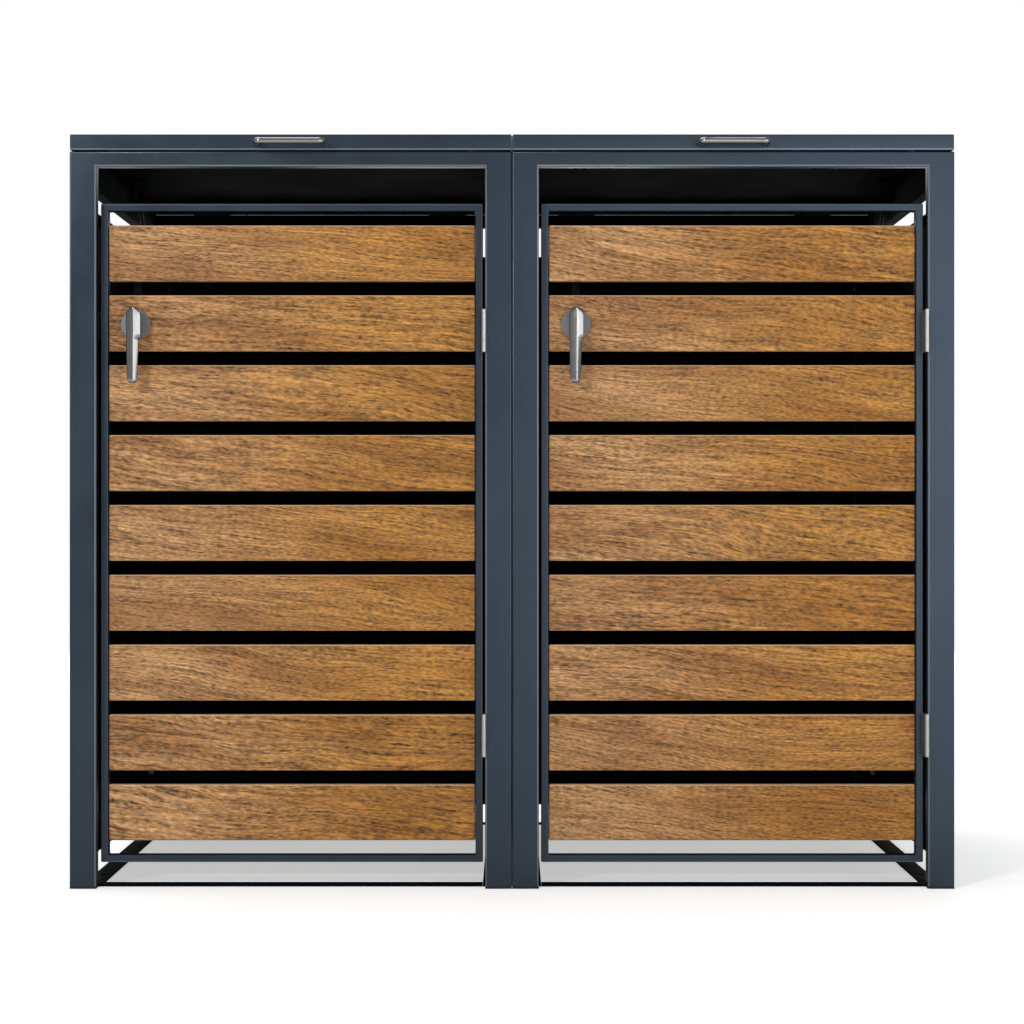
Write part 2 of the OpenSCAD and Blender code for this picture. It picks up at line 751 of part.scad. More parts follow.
side_rails();
base_bars();
inner_side_panels();
rear_panels();
foot_plugs();
frame_fasteners();
door_hinge_frame_leaves();
lid_hinge_frame_leaves();
hinge_pins();
strut_frame_brackets();
lid_buffers();
latch_strikes();
bay(0) side_panel();  // left_outer_side_panel
bay(1) right_side_panel();  // right_outer_side_panel
for (b = [0, 1]) bay(b) {
    front_frame();
    rear_frame(b);
    door_frame();
    door_hinge_leaves();
    slat_screws();
    lever_rosette();
    lever_handle();
    latch_tongue();
    lid_shell();
    bow_handle();
    lid_hinge_leaves();
    strut_lid_brackets();
    strut_cylinders();
    strut_rods();
    for (i = [1 : slat_count])
        slat(i);
}
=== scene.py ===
"""Looks of the double wheelie-bin store: two bays with slatted doors, lids, levers and bow handles.

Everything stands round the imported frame, in metres. Lengths below are written in millimetres
times MM. Each bay has a side, "left" or "right", as in the names of its nodes and bodies.
"""

import json
import math

import bmesh
import bpy
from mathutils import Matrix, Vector

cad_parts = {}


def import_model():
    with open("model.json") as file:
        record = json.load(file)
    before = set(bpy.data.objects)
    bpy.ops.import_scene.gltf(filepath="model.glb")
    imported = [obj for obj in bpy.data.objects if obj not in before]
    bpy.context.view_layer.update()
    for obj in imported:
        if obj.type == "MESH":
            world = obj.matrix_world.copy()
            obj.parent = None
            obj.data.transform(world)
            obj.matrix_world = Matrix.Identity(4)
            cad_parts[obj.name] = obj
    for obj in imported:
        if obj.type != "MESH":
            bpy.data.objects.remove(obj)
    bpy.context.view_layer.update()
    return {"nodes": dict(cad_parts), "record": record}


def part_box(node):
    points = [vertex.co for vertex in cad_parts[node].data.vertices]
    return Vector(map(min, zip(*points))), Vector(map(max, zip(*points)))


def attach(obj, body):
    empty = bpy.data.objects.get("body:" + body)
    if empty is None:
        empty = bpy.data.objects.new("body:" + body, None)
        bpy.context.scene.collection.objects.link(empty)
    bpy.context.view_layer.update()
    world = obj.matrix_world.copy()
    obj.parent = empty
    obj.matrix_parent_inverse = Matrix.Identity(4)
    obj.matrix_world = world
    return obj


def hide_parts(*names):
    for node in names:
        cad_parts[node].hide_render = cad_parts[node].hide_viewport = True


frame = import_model()

MM = 0.001
SIDES = ("left", "right")
SLATS = sum(name.startswith("left_slat_") and name[-1].isdigit() for name in frame["nodes"])

# Material slot of each CAD node
SLOT = {part["node"]: part["material_slot"] for part in frame["record"]["subparts"]}

# Sheet and tube. POST is the width of a post, and WALL the depth of a side panel with its folds.
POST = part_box("rear_panels")[0].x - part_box("left_rear_frame")[0].x
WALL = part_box("left_outer_side_panel")[1].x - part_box("left_outer_side_panel")[0].x
RAIL = 23 * MM               # height of the front and rear top rails
TUBE_ROUND = 2.6 * MM        # outer radius of the portal tubes' edges
RAIL_ROUND = 1.4 * MM        # outer radius of the side rails' edges
DOOR_ROUND = 1.9 * MM        # outer radius of the door frame's edges
SHARP = math.radians(30)     # least angle of an edge that gets rounded
SHEET = 1.5 * MM             # thickness of the panel and lid sheet
FOLD = 2.0 * MM              # outer radius of a fold in that sheet
DEBURR = 0.35 * MM           # rounding of that sheet's cut edges
# The lowest strip of a lid's skirt leans in and gets a painted highlight
HEM = 2.4 * MM               # height of the rolled lower edge of a lid's skirt
HEM_LEAN = 0.7 * MM          # how far that edge leans in

# Foam tape in the seam between the bays, and the strip on top of it between the lids
TAPE_HALF = 0.25 * MM        # half thickness of the tape
STRIP_HALF = 0.72 * MM       # half thickness of the strip
TAPE_INSET = 4 * MM          # how far the tape lies behind the front and the rear faces
TAPE_FOOT = 2 * MM           # height of the tape's lower end over the posts' lower ends
STRIP_FOOT = 1 * MM          # how far the strip starts below the top of the portals
STRIP_SINK = 3 * MM          # how far the strip's top lies below the top of the lids

# Slats
SLAT_HALF = (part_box("left_slat_1")[1].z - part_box("left_slat_1")[0].z) / 2  # half its height
SLAT_ROUND = 2.4 * MM        # radius of its eased edges
SLAT_GAP = 0.3 * MM          # gap between the slats' ends and the door frame
BOARD_STEP = 0.83            # distance in the log between the cuts of two boards

# Lever: heights over its axis and widths from the ridge, in millimetres without MM
LEVER_TOP = 26
LEVER_SHOULDER = 10          # lower end of the head's round top
LEVER_STEP = -21             # where the head ends and the narrower grip starts
LEVER_LEDGE = 1.4            # height of the ledge between the two
LEVER_TIP = -92
LEVER_NOSE = 7               # height of the rounded tip
LEVER_THIN = 6.4             # width under which the ridge starts to sink
HEAD_RIGHT = 11.4            # head's width right of the ridge
HEAD_LEFT = 0.965            # its width left of the ridge, over that on the right
GRIP_RIGHT = 8.2             # grip's width right of the ridge, just under the head
GRIP_LEFT = 11.0             # grip's width left of the ridge, at the height of the axis
RIGHT_TAPER = 1.6            # how much less the width on the right is at the tip
LEFT_TAPER = 1.2             # how much less the width on the left is at the tip

GRIP = 12 * MM               # thickness of a lever's grip
NECK_HALF = 10.2 * MM        # half the width of the neck behind the grip
NECK_UP = 23 * MM            # its height over the axis
NECK_DOWN = 21 * MM          # its depth below the axis
NECK_FALL = 5 * MM           # how much lower its top is at the rosette
NECK_GAP = 0.3 * MM          # gap between the neck and the rosette
SPINDLE = 5 * MM             # radius of the spindle
SPINDLE_CHAMFER = 0.6 * MM   # chamfer of its rear end

# Rosette and its washer
ROSETTE_BORE = 5.1 * MM      # radius of the hole for the spindle
ROSETTE_EDGE = 1.0 * MM      # radius of the turned front edge
ROSETTE_RIM = 1.8 * MM       # depth of the part with the full diameter
ROSETTE_STEP = 0.4 * MM      # how much smaller the part behind the rim is
WASHER = 12 * MM             # radius of the washer

# Bow handle
BOW_BEND = 7 * MM            # radius of its elbows, on the centre line
BOW_BAR = 0.92               # the bar's thickness over its elbows' thickness
BOW_FOOT = 1.15              # the same for the collar at its feet
BOW_COLLAR = 2.0 * MM        # length of that collar
BOW_CONE = 1.2 * MM          # length in which the collar thins out

# Rounding of the edges of the CAD nodes that stay
EASE = 0.3 * MM
EASE_OF = {"base_bars": 0.6 * MM, "latch_strikes": 0.4 * MM}

# Stage
FLOOR = 200                  # half width of the floor
FLOOR_GLOW = 0.50            # what the floor shows over the light that falls on it
AMBIENT = 0.27               # the surroundings as a light

# Camera: focal length and sensor width in millimetres, place in metres, shift in sensor widths
LENS = 85
SENSOR = 36
EYE = (0, -4.10265, 0.567)
SHIFT_UP = 0.0078


# ---- node trees ----

class Recipe:
    """A material with short calls for its nodes. Textures are placed by the frame's axes at rest."""

    def __init__(self, name):
        self.material = bpy.data.materials.new(name)
        self.material.use_nodes = True
        self.tree = self.material.node_tree
        self.shader = self.tree.nodes["Principled BSDF"]

    def node(self, kind, inputs=(), **settings):
        made = self.tree.nodes.new(kind)
        for key, value in settings.items():
            setattr(made, key, value)
        for key, value in dict(inputs).items():
            self.feed(made.inputs[key], value)
        return made

    def feed(self, socket, value):
        if isinstance(value, bpy.types.NodeSocket):
            self.tree.links.new(value, socket)
        else:
            socket.default_value = value

    def set(self, **values):
        """Sets or links the main shader's sockets: base_color is its Base Color, and so on."""
        for key, value in values.items():
            title = "Specular IOR Level" if key == "specular_level" else key.replace("_", " ").title()
            self.feed(self.shader.inputs[title], value)

    def place(self):
        return self.node("ShaderNodeTexCoord").outputs["Object"]

    def noise(self, vector, scale, detail, roughness=0.5):
        inputs = {"Vector": vector, "Scale": scale, "Detail": detail, "Roughness": roughness}
        return self.node("ShaderNodeTexNoise", inputs).outputs["Fac"]

    def streaks(self, vector, scales, detail, roughness=0.5):
        """Noise with a scale of its own along each axis."""
        stretched = self.node("ShaderNodeMapping", {"Vector": vector, "Scale": scales}).outputs[0]
        return self.noise(stretched, 1, detail, roughness)

    def math(self, operation, a, b=0.0, c=0.0):
        return self.node("ShaderNodeMath", {0: a, 1: b, 2: c}, operation=operation).outputs[0]

    def span(self, value, low, high, to_low=0.0, to_high=1.0):
        """value, mapped from low..high to to_low..to_high with soft ends."""
        inputs = {"Value": value, "From Min": low, "From Max": high}
        inputs.update({"To Min": to_low, "To Max": to_high})
        return self.node("ShaderNodeMapRange", inputs, interpolation_type="SMOOTHSTEP").outputs[0]

    def mix(self, share, a, b, blend="MIX"):
        made = self.node("ShaderNodeMix", data_type="RGBA", blend_type=blend)
        self.feed(made.inputs[0], share)
        self.feed(made.inputs[6], a)
        self.feed(made.inputs[7], b)
        return made.outputs[2]

    def bump(self, height, distance, strength):
        inputs = {"Height": height, "Distance": distance, "Strength": strength}
        return self.node("ShaderNodeBump", inputs).outputs[0]


def rgb(red, green, blue):
    return (red, green, blue, 1)


# ---- materials ----

def powder_coat(name, color, roughness, metallic=0.0, specular=0.5):
    """Satin powder coat on steel: fine orange peel, faint clouds in tone and gloss."""
    m = Recipe(name)
    place = m.place()
    clouds = m.noise(place, 7, 3)
    speck = m.noise(place, 900, 1)
    peel = m.noise(place, 420, 2)
    tone = m.math("MULTIPLY_ADD", clouds, 0.22, m.math("MULTIPLY_ADD", speck, 0.16, 0.81))
    gloss = m.span(clouds, 0.3, 0.7, roughness - 0.04, roughness + 0.06)
    m.set(base_color=m.mix(1.0, rgb(*color), tone, "MULTIPLY"), roughness=gloss,
          normal=m.bump(peel, 0.05 * MM, 0.5), metallic=metallic, specular_level=specular)
    return m.material


def oak(name):
    """Oiled oak. The attribute "grain" holds places in the log: X runs along a board from its
    left end, Z across it, and Y from board to board."""
    m = Recipe(name)
    grain = m.node("ShaderNodeAttribute", attribute_name="grain").outputs["Vector"]
    parts = m.node("ShaderNodeSeparateXYZ", {0: grain})
    x, y, z = parts.outputs[0], parts.outputs[1], parts.outputs[2]

    # Growth rings run along the board, dip towards its right end and wander
    sway = m.streaks(grain, (2.1, 1, 6), 2)
    ripple = m.streaks(grain, (9, 1, 24), 2)
    ring = m.math("MULTIPLY_ADD", x, 0.11, z)
    ring = m.math("MULTIPLY_ADD", sway, 0.075, ring)
    ring = m.math("MULTIPLY_ADD", ripple, 0.009, ring)
    log = m.node("ShaderNodeCombineXYZ", {0: x, 1: y, 2: ring}).outputs[0]

    bands = m.streaks(log, (1.6, 1, 85), 3, 0.6)
    fibres = m.streaks(log, (13, 1, 330), 2, 0.6)
    specks = m.streaks(log, (120, 1, 400), 1.5)
    dashes = m.streaks(log, (55, 1, 370), 1.5)
    groups = m.streaks(log, (5, 1, 62), 2, 0.6)
    patches = m.streaks(log, (3.4, 1, 17), 2)

    # Pores are short dashes in groups, fewer towards the right end
    right = m.span(x, 0.05, 0.45)
    pores = m.math("MULTIPLY", m.span(dashes, 0.53, 0.66), m.span(groups, 0.42, 0.62))
    pores = m.math("MULTIPLY", pores, m.span(right, 0, 1, 1.0, 0.5))

    # Towards the right end the wood is warmer
    pale = m.mix(right, rgb(0.475, 0.258, 0.108), rgb(0.43, 0.200, 0.043))
    deep = m.mix(right, rgb(0.335, 0.160, 0.058), rgb(0.31, 0.128, 0.020))
    body = m.mix(m.span(patches, 0.34, 0.68), pale, deep)
    body = m.mix(m.span(bands, 0.45, 0.72, 0.0, 0.5), body, rgb(0.23, 0.095, 0.026))
    light = m.math("MULTIPLY_ADD", m.math("SUBTRACT", fibres, 0.5), 2.4, 0.97)
    light = m.math("MULTIPLY_ADD", m.math("SUBTRACT", specks, 0.5), 2.2, light)
    body = m.mix(1.0, body, light, "MULTIPLY")
    body = m.mix(m.math("MULTIPLY", pores, 0.8), body, rgb(0.105, 0.042, 0.012))

    # Painted highlights: the long eased edges are paler, most of all the upper one, where light from
    # above falls
    upper = m.math("MULTIPLY", m.span(z, SLAT_HALF - 2.0 * MM, SLAT_HALF - 1.0 * MM), 0.75)
    body = m.mix(upper, body, rgb(0.72, 0.50, 0.30))
    lower = m.math("MULTIPLY", m.span(z, 1.6 * MM - SLAT_HALF, 0.6 * MM - SLAT_HALF), 0.35)
    body = m.mix(lower, body, rgb(0.62, 0.42, 0.24))

    relief = m.math("MULTIPLY_ADD", pores, -1.0, m.math("MULTIPLY", fibres, 0.5))
    m.set(base_color=body, roughness=m.span(fibres, 0.3, 0.7, 0.5, 0.66),
          normal=m.bump(relief, 0.25 * MM, 0.6), specular_level=0.3)
    return m.material


def brushed(name, color, roughness, along, depth=0.012 * MM):
    """Steel brushed along one axis: hairlines of that depth in its gloss and relief."""
    m = Recipe(name)
    place = m.place()
    scales = tuple(60 if axis == along else 2600 for axis in "XYZ")
    lines = m.streaks(place, scales, 2, 0.65)
    smudge = m.noise(place, 45, 3)
    tone = m.math("MULTIPLY_ADD", lines, 0.16, 0.92)
    gloss = m.math("MULTIPLY_ADD", m.math("SUBTRACT", lines, 0.5), 0.12, roughness)
    gloss = m.math("MULTIPLY_ADD", m.math("SUBTRACT", smudge, 0.5), 0.08, gloss)
    m.set(base_color=m.mix(1.0, rgb(*color), tone, "MULTIPLY"), metallic=1.0, roughness=gloss,
          normal=m.bump(lines, depth, 0.6))
    return m.material


def moulded(name, color, roughness, grit):
    """Moulded plastic or rubber with a fine spark-eroded grit."""
    m = Recipe(name)
    place = m.place()
    grain = m.noise(place, grit, 3)
    haze = m.noise(place, 25, 2)
    tone = m.math("MULTIPLY_ADD", haze, 0.5, 0.75)
    m.set(base_color=m.mix(1.0, rgb(*color), tone, "MULTIPLY"),
          roughness=m.span(haze, 0.3, 0.7, roughness - 0.05, roughness + 0.08),
          normal=m.bump(grain, 0.06 * MM, 0.6))
    return m.material


MATERIALS = {
    "anthracite_coat": powder_coat("anthracite_coat", (0.034, 0.050, 0.071), 0.30, 0.7),
    # black_coat is the finish of the base bars, and it also goes on inner faces as painted shade
    "black_coat": powder_coat("black_coat", (0.004, 0.005, 0.007), 0.7, specular=0.02),
    "oak_slats": oak("oak_slats"),
    "handle_steel": brushed("handle_steel", (0.34, 0.34, 0.34), 0.20, "Z"),
    "rosette_steel": brushed("rosette_steel", (0.24, 0.24, 0.25), 0.6, "X"),
    "stainless": brushed("stainless", (0.46, 0.46, 0.46), 0.38, "Z"),
    "nitrided_rods": brushed("nitrided_rods", (0.030, 0.030, 0.032), 0.3, "Y", 0.004 * MM),
    "black_plastic": moulded("black_plastic", (0.014, 0.014, 0.016), 0.5, 1400),
    "buffer_rubber": moulded("buffer_rubber", (0.012, 0.012, 0.013), 0.8, 900),
}

# Painted highlight: a paler coat on the rounded edges of the frame, doors and lids, where they catch the
# light
EDGE_HIGHLIGHT_COAT = powder_coat("painted_edge_highlight", (0.14, 0.165, 0.195), 0.3, 0.6)

# The two other coats on a coated piece, black for painted shade and pale for painted edge highlight, and
# their material indices
SHADE_BLACK, HIGHLIGHT = 1, 2
SHADE_AND_HIGHLIGHT_COATS = (MATERIALS["black_coat"], EDGE_HIGHLIGHT_COAT)


# ---- mesh helpers ----

def piece(name, bm, body, slot, *replaced, more=()):
    """Makes a piece from bm. It rides on body and stands for the replaced CAD nodes. Its faces of
    material index 1 and up take the materials in more."""
    mesh = bpy.data.meshes.new(name)
    bmesh.ops.recalc_face_normals(bm, faces=bm.faces)
    bm.to_mesh(mesh)
    bm.free()
    mesh.shade_smooth()
    for material in (MATERIALS[slot], *more):
        mesh.materials.append(material)
    obj = bpy.data.objects.new(name, mesh)
    bpy.context.scene.collection.objects.link(obj)
    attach(obj, body)
    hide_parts(*replaced)
    return obj


def weight_normals(obj):
    """Keeps flat faces flat between rounded edges."""
    weighted = obj.modifiers.new("flat faces", "WEIGHTED_NORMAL")
    weighted.keep_sharp = True


def coated(name, bm, body, node):
    """Makes a piece of coated tube that stands for node. Its faces may have the index of the black
    painted shade or of the pale painted edge highlight.
    """
    weight_normals(piece(name, bm, body, "anthracite_coat", node, more=SHADE_AND_HIGHLIGHT_COATS))


def quarter(steps):
    """Angles from 0 to 90 degrees in equal steps, with both ends."""
    return [math.pi / 2 * k / steps for k in range(steps + 1)]


def full_turn(steps):
    """Angles of a whole turn in equal steps."""
    return [2 * math.pi * k / steps for k in range(steps)]


def round_edges(bm, radius, segments=4, spare=None):
    """Rounds the sharp edges of bm, but not those along axis number spare. Returns the new faces."""
    edges = []
    for edge in bm.edges:
        along = (edge.verts[1].co - edge.verts[0].co).normalized()
        if len(edge.link_faces) == 2 and edge.calc_face_angle() > SHARP:
            if spare is None or abs(along[spare]) < 0.9:
                edges.append(edge)
    made = bmesh.ops.bevel(bm, geom=edges, offset=radius, segments=segments, profile=0.5,
                           affect="EDGES", clamp_overlap=True)
    return made["faces"]


def paint_edge_highlight(faces, wanted):
    """Paints a highlight: gives the paler edge coat to those of the faces whose middle is wanted."""
    for face in faces:
        if wanted(face.calc_center_median()):
            face.material_index = HIGHLIGHT


def paint_shade_black(bm, wanted):
    """Paints shade: gives the black coat to the faces that are wanted, by their middle and normal."""
    bm.normal_update()
    for face in bm.faces:
        if wanted(face.calc_center_median(), face.normal):
            face.material_index = SHADE_BLACK


def prism(outline, y0, y1):
    """Solid between two depths, with an outline of (x, z) points."""
    bm = bmesh.new()
    face = bm.faces.new([bm.verts.new((x, y0, z)) for x, z in outline])
    made = bmesh.ops.extrude_face_region(bm, geom=[face])["geom"]
    far = [v for v in made if isinstance(v, bmesh.types.BMVert)]
    bmesh.ops.translate(bm, verts=far, vec=(0, y1 - y0, 0))
    bmesh.ops.recalc_face_normals(bm, faces=bm.faces)
    return bm


def block(lo, hi):
    """Box between its lowest and highest corners."""
    return prism([(lo.x, lo.z), (hi.x, lo.z), (hi.x, hi.z), (lo.x, hi.z)], lo.y, hi.y)


def ring(lo, hi, width):
    """Rectangular ring of tube, mitred at its corners, standing in the plane of X and Z."""
    bm = bmesh.new()
    loops = []
    for inset, y in ((0, lo.y), (width, lo.y), (width, hi.y), (0, hi.y)):
        x0, x1, z0, z1 = lo.x + inset, hi.x - inset, lo.z + inset, hi.z - inset
        loops.append([bm.verts.new((x, y, z)) for x, z in ((x0, z0), (x1, z0), (x1, z1), (x0, z1))])
    for k, loop in enumerate(loops):
        other = loops[(k + 1) % 4]
        for i in range(4):
            bm.faces.new((loop[i], loop[(i + 1) % 4], other[(i + 1) % 4], other[i]))
    bmesh.ops.recalc_face_normals(bm, faces=bm.faces)
    return bm


def tray(name, lo, hi, open_side, body, node, hem=False):
    """Folded sheet: a box without the face on open_side, such as (0, 0, -1), with its other faces
    turned at rounded folds. Its inside gets the black coat as painted shade."""
    bm = block(lo, hi)
    for face in [f for f in bm.faces if f.normal.dot(Vector(open_side)) > 0.9]:
        bm.faces.remove(face)
    round_edges(bm, FOLD)
    if hem:
        lean_hem_and_paint_highlight(bm, lo, hi)
    obj = piece(name, bm, body, "anthracite_coat", node, more=SHADE_AND_HIGHLIGHT_COATS)
    wall = obj.modifiers.new("sheet", "SOLIDIFY")
    wall.thickness = SHEET
    wall.offset = -1
    wall.use_even_offset = True
    # The inside of the sheet gets the black coat as painted shade
    wall.material_offset = SHADE_BLACK
    deburred = obj.modifiers.new("deburred", "BEVEL")
    deburred.width = DEBURR
    deburred.segments = 2
    deburred.limit_method = "ANGLE"
    deburred.angle_limit = math.radians(50)
    weight_normals(obj)


def lean_hem_and_paint_highlight(bm, lo, hi):
    """Paints a highlight on the lowest strip of a lid's skirt with the paler edge coat, and leans that
    strip in at the front and rear.
    """
    top = lo.z + HEM
    everything = [*bm.verts, *bm.edges, *bm.faces]
    bmesh.ops.bisect_plane(bm, geom=everything, plane_co=(0, 0, top), plane_no=(0, 0, 1))
    for face in bm.faces:
        # Painted highlight: the strip below top takes the paler edge coat
        if face.calc_center_median().z < top:
            face.material_index = HIGHLIGHT
    middle = (lo + hi) / 2
    for vertex in bm.verts:
        at_edge = abs(vertex.co.y - middle.y) > (hi.y - lo.y) / 2 - FOLD
        if vertex.co.z < lo.z + HEM / 2 and at_edge:
            vertex.co.y += math.copysign(HEM_LEAN, middle.y - vertex.co.y)


def loft(rings):
    """Closed skin over rings of points, all with the same number of points."""
    bm = bmesh.new()
    rows = [[bm.verts.new(p) for p in points] for points in rings]
    for a, b in zip(rows, rows[1:]):
        for i in range(len(a)):
            j = (i + 1) % len(a)
            bm.faces.new((a[i], a[j], b[j], b[i]))
    bm.faces.new(rows[0])
    bm.faces.new(list(reversed(rows[-1])))
    return bm


def turned(profile, axis_x, axis_z, segments):
    """Solid turned about an axis along Y. profile lists (radius, y) from one end to the other."""
    rings = []
    for radius, y in profile:
        places = [(radius * math.cos(a), radius * math.sin(a)) for a in full_turn(segments)]
        rings.append([(axis_x + x, y, axis_z + z) for x, z in places])
    return loft(rings)


def turned_ring(profile, axis_x, axis_z, segments):
    """Ring turned about an axis along Y from a closed profile of (radius, y)."""
    bm = bmesh.new()
    rows = []
    for a in full_turn(segments):
        c, s = math.cos(a), math.sin(a)
        rows.append([bm.verts.new((axis_x + r * c, y, axis_z + r * s)) for r, y in profile])
    for k, row in enumerate(rows):
        after = rows[(k + 1) % segments]
        for i in range(len(row)):
            j = (i + 1) % len(row)
            bm.faces.new((row[i], row[j], after[j], after[i]))
    return bm


# ---- frame and panels ----

def portal(side, end):
    """Front or rear portal of one bay: two posts and a top rail. Its inner sides get the black coat
    as painted shade. The rounded edges round the front opening get the paler coat as painted highlight."""
    node = f"{side}_{end}_frame"
    lo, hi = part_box(node)
    x0, x1, top = lo.x + POST, hi.x - POST, hi.z - RAIL
    outline = [(lo.x, lo.z), (x0, lo.z), (x0, top), (x1, top)]
    outline += [(x1, lo.z), (hi.x, lo.z), (hi.x, hi.z), (lo.x, hi.z)]
    bm = prism(outline, lo.y, hi.y)

    def in_opening(p):
        return x0 - TUBE_ROUND < p.x < x1 + TUBE_ROUND and p.z < top + TUBE_ROUND

    edges = round_edges(bm, TUBE_ROUND, spare=1)
    if end == "front":
        # Painted highlight on the rounded edges round the front opening
        paint_edge_highlight(edges, in_opening)
        paint_shade_black(bm, lambda p, normal: normal.y > 0.1)
    else:
        paint_shade_black(bm, lambda p, normal: normal.y < (0.2 if in_opening(p) else -0.1))
    coated(f"{side}_{end}_portal", bm, "root", node)


def side_wall(side, end):
    """Lowest and highest X of the wall at one end of a bay, and which way its inside lies."""
    bay_lo, bay_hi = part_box(f"{side}_rear_frame")
    if end == "left":
        return bay_lo.x, bay_lo.x + WALL, 1
    return bay_hi.x - WALL, bay_hi.x, -1


def side_rail(side, end):
    """Top rail along one side of a bay, with the black coat as painted shade on its inner side and
    underneath.
    """
    lo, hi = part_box("side_rails")
    x0, x1, inward = side_wall(side, end)
    bm = block(Vector((x0, lo.y, lo.z)), Vector((x1, hi.y, hi.z)))
    round_edges(bm, RAIL_ROUND, spare=0)
    paint_shade_black(bm, lambda p, normal: normal.x * inward > 0.5 or normal.z < -0.5)
    coated(f"{side}_bay_{end}_rail", bm, "root", "side_rails")


def side_panel(side, end):
    """Side panel: a sheet tray that opens towards the inside of the bay."""
    node = f"{side}_outer_side_panel" if side == end else "inner_side_panels"
    lo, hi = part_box("left_outer_side_panel")
    x0, x1, inward = side_wall(side, end)
    low, high = Vector((x0, lo.y, lo.z)), Vector((x1, hi.y, hi.z))
    tray(f"{side}_bay_{end}_panel", low, high, (inward, 0, 0), "root", node)


def rear_panel(side):
    """Rear panel between the rear posts: a sheet tray that opens to the front."""
    lo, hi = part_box("rear_panels")
    bay_lo, bay_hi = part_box(f"{side}_rear_frame")
    low = Vector((bay_lo.x + POST, lo.y, lo.z))
    high = Vector((bay_hi.x - POST, hi.y, hi.z))
    tray(f"{side}_bay_rear_panel", low, high, (0, -1, 0), "root", "rear_panels")


def lid(side):
    """Lid: a sheet tray that opens downwards."""
    node = f"{side}_lid_shell"
    lo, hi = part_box(node)
    tray(f"{side}_lid_sheet", lo, hi, (0, 0, -1), f"{side}_lid", node, hem=True)


def seals():
    """Foam tape between the posts and panels of the two bays, and a strip between the lids."""
    lo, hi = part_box("left_front_frame")
    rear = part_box("left_rear_frame")[1].y
    strip_z = hi.z - STRIP_FOOT
    strip_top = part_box("left_lid_shell")[1].z - STRIP_SINK
    for name, half, inset, z0, z1 in (
        ("seam_tape", TAPE_HALF, TAPE_INSET, lo.z + TAPE_FOOT, strip_z),
        ("lid_seam_strip", STRIP_HALF, 0, strip_z, strip_top),
    ):
        bm = block(Vector((-half, lo.y + inset, z0)), Vector((half, rear - inset, z1)))
        round_edges(bm, half / 2, segments=2)
        piece(name, bm, "root", "buffer_rubber")


# ---- doors ----

def door(side):
    """Door frame of slim tube with its slats."""
    node = f"{side}_door_frame"
    lo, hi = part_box(node)
    slat_lo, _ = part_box(f"{side}_slat_1")
    bm = ring(lo, hi, slat_lo.x - lo.x - SLAT_GAP)
    edges = round_edges(bm, DOOR_ROUND)
    # Painted highlight on the ring's outer rounded edges
    paint_edge_highlight(edges, lambda p: min(p.x - lo.x, hi.x - p.x, p.z - lo.z, hi.z - p.z) < DOOR_ROUND)
    coated(f"{side}_door_ring", bm, f"{side}_door", node)
    for i in range(1, SLATS + 1):
        slat(side, i)


def slat(side, i):
    """One oak board with eased edges. Each board is a later cut from the same log."""
    node = f"{side}_slat_{i}"
    lo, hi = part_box(node)
    bm = block(lo, hi)
    round_edges(bm, SLAT_ROUND, segments=5)
    obj = piece(f"{side}_board_{i}", bm, f"{side}_door", "oak_slats", node)
    grain = obj.data.attributes.new("grain", "FLOAT_VECTOR", "POINT")
    start = Vector((lo.x, lo.y - BOARD_STEP * (i + SLATS * SIDES.index(side)), (lo.z + hi.z) / 2))
    for vertex, place in zip(obj.data.vertices, grain.data):
        place.vector = vertex.co - start
    weight_normals(obj)


# ---- handles ----

def lever_width(z):
    """Width of the lever right of its ridge at height z over the axis, both in millimetres."""
    if z > LEVER_SHOULDER:
        share = (LEVER_TOP - z) / (LEVER_TOP - LEVER_SHOULDER)
        return HEAD_RIGHT * math.sqrt(max(0.0, 1 - (1 - share) ** 2))
    if z > LEVER_STEP:
        return HEAD_RIGHT
    width = GRIP_RIGHT + RIGHT_TAPER * (z - LEVER_STEP) / (LEVER_STEP - LEVER_TIP)
    ledge_end = LEVER_STEP - LEVER_LEDGE
    if z > ledge_end:
        return width + (HEAD_RIGHT - width) * (z - ledge_end) / LEVER_LEDGE
    from_tip = z - LEVER_TIP
    if from_tip < LEVER_NOSE:
        # A little blunter than a circle
        width *= math.sqrt(max(0.0, 1 - (1 - from_tip / LEVER_NOSE) ** 2)) ** 0.8
    return width


def lever_heights():
    """Heights of the lever's rings over its axis, in millimetres, from its top to its tip."""
    ledge_end = LEVER_STEP - LEVER_LEDGE
    nose = LEVER_TIP + LEVER_NOSE
    heights = [LEVER_TOP - (LEVER_TOP - LEVER_SHOULDER) * (1 - math.cos(a)) for a in quarter(10)]
    heights += [LEVER_SHOULDER + (LEVER_STEP - LEVER_SHOULDER) * k / 5 for k in range(1, 6)]
    heights += [LEVER_STEP - 0.5, LEVER_STEP - 1.0, ledge_end]
    heights += [ledge_end + (nose - ledge_end) * k / 11 for k in range(1, 12)]
    heights += [nose - LEVER_NOSE * math.sin(a) for a in quarter(9)[1:]]
    return heights


